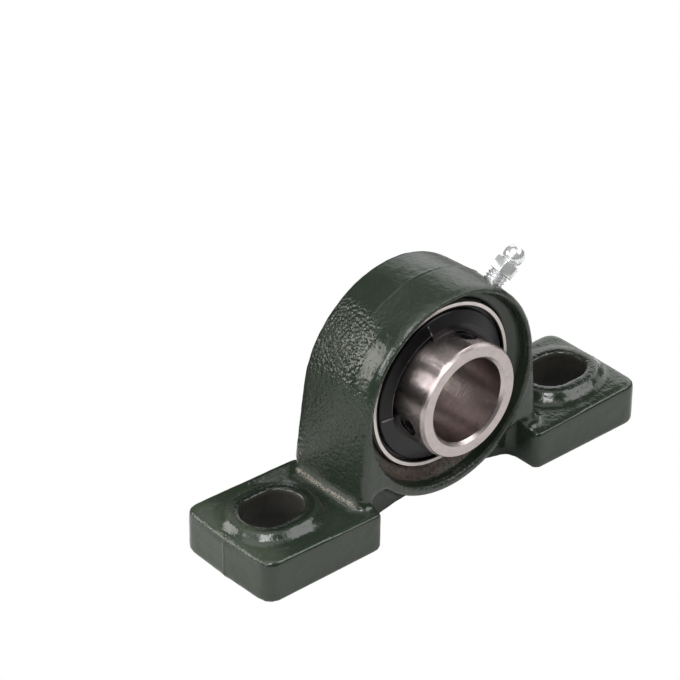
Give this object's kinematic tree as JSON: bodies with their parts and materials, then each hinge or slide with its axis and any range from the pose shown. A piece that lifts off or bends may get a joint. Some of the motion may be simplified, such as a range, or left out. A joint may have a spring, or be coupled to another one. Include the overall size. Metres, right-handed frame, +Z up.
{
  "type": "pillow block bearing",
  "caption": "Cast pillow block with slotted feet and a self-aligning sealed ball bearing insert, locked to its shaft by set screws and greased through a nipple.",
  "frame": {"origin": "centre of the base's underside, below the shaft's axis and the ball row", "axes": "+X along the base towards the grease nipple's foot, +Z up from the base, -Y towards the side with the set screws"},
  "size_m": [0.14, 0.0378, 0.068],
  "materials": {
    "housing_paint": "dark green enamel over rough casting",
    "zinc_plate": "bright zinc plate",
    "bearing_steel": "ground and polished",
    "spring_steel": "drawn wire",
    "ring_steel": "fine ground",
    "cage_steel": "pressed sheet",
    "seal_rubber": "matt",
    "slinger_black": "black satin",
    "screw_black": "black oxide"
  },
  "bodies": {
    "housing": {"housing": "housing_paint", "grease_nipple": "zinc_plate", "nipple_spring": "spring_steel"},
    "check_ball": {"nipple_check_ball": "bearing_steel"},
    "outer_ring": {"outer_ring": "bearing_steel", "front_seal_shield": "cage_steel", "front_seal_lip": "seal_rubber", "rear_seal_shield": "cage_steel", "rear_seal_lip": "seal_rubber"},
    "inner_ring": {"inner_ring": "ring_steel", "front_slinger": "slinger_black", "rear_slinger": "slinger_black"},
    "set_screw_a": {"set_screw_a": "screw_black"},
    "set_screw_b": {"set_screw_b": "screw_black"},
    "cage": {"cage_front": "cage_steel", "cage_rear": "cage_steel", "cage_rivets": "cage_steel"},
    "ball_1": {"ball_1": "bearing_steel"},
    "ball_2": {"ball_2": "bearing_steel"},
    "ball_3": {"ball_3": "bearing_steel"},
    "ball_4": {"ball_4": "bearing_steel"},
    "ball_5": {"ball_5": "bearing_steel"},
    "ball_6": {"ball_6": "bearing_steel"},
    "ball_7": {"ball_7": "bearing_steel"},
    "ball_8": {"ball_8": "bearing_steel"},
    "ball_9": {"ball_9": "bearing_steel"}
  },
  "joints": [
    {"name": "check_ball_slide", "type": "slide", "parent": "housing", "child": "check_ball", "axis": [-0.7518, 0.0872, -0.6536], "range_m": [0, 0.0006], "stiffness_N_per_m": 100, "springref_m": -0.002, "deforming": ["nipple_spring"]},
    {"name": "insert_align", "type": "hinge", "parent": "housing", "child": "outer_ring", "pos_m": [0, 0, 0.0365], "axis": [1, 0, 0], "range_deg": [-3, 3]},
    {"name": "inner_spin", "type": "hinge", "parent": "outer_ring", "child": "inner_ring", "pos_m": [0, 0, 0.0365], "axis": [0, 1, 0], "continuous": true},
    {"name": "screw_a_slide", "type": "slide", "parent": "inner_ring", "child": "set_screw_a", "axis": [0.2588, 0, 0.9659], "range_m": [-0.001, 0.0015]},
    {"name": "screw_b_slide", "type": "slide", "parent": "inner_ring", "child": "set_screw_b", "axis": [-0.9659, 0, -0.2588], "range_m": [-0.001, 0.0015]},
    {"name": "cage_spin", "type": "hinge", "parent": "outer_ring", "child": "cage", "pos_m": [0, 0, 0.0365], "axis": [0, 1, 0], "continuous": true},
    {"name": "ball_1_spin", "type": "hinge", "parent": "cage", "child": "ball_1", "pos_m": [0.0192, 0, 0.03989], "axis": [0, 1, 0], "continuous": true},
    {"name": "ball_2_spin", "type": "hinge", "parent": "cage", "child": "ball_2", "pos_m": [0.01253, 0, 0.05144], "axis": [0, 1, 0], "continuous": true},
    {"name": "ball_3_spin", "type": "hinge", "parent": "cage", "child": "ball_3", "pos_m": [0, 0, 0.056], "axis": [0, 1, 0], "continuous": true},
    {"name": "ball_4_spin", "type": "hinge", "parent": "cage", "child": "ball_4", "pos_m": [-0.01253, 0, 0.05144], "axis": [0, 1, 0], "continuous": true},
    {"name": "ball_5_spin", "type": "hinge", "parent": "cage", "child": "ball_5", "pos_m": [-0.0192, 0, 0.03989], "axis": [0, 1, 0], "continuous": true},
    {"name": "ball_6_spin", "type": "hinge", "parent": "cage", "child": "ball_6", "pos_m": [-0.01689, 0, 0.02675], "axis": [0, 1, 0], "continuous": true},
    {"name": "ball_7_spin", "type": "hinge", "parent": "cage", "child": "ball_7", "pos_m": [-0.00667, 0, 0.01818], "axis": [0, 1, 0], "continuous": true},
    {"name": "ball_8_spin", "type": "hinge", "parent": "cage", "child": "ball_8", "pos_m": [0.00667, 0, 0.01818], "axis": [0, 1, 0], "continuous": true},
    {"name": "ball_9_spin", "type": "hinge", "parent": "cage", "child": "ball_9", "pos_m": [0.01689, 0, 0.02675], "axis": [0, 1, 0], "continuous": true}
  ],
  "couplings": [
    {"joint": "cage_spin", "follows": "inner_spin", "ratio": 0.398},
    {"joint": "ball_1_spin", "follows": "inner_spin", "ratio": -2.355},
    {"joint": "ball_2_spin", "follows": "inner_spin", "ratio": -2.355},
    {"joint": "ball_3_spin", "follows": "inner_spin", "ratio": -2.355},
    {"joint": "ball_4_spin", "follows": "inner_spin", "ratio": -2.355},
    {"joint": "ball_5_spin", "follows": "inner_spin", "ratio": -2.355},
    {"joint": "ball_6_spin", "follows": "inner_spin", "ratio": -2.355},
    {"joint": "ball_7_spin", "follows": "inner_spin", "ratio": -2.355},
    {"joint": "ball_8_spin", "follows": "inner_spin", "ratio": -2.355},
    {"joint": "ball_9_spin", "follows": "inner_spin", "ratio": -2.355}
  ]
}
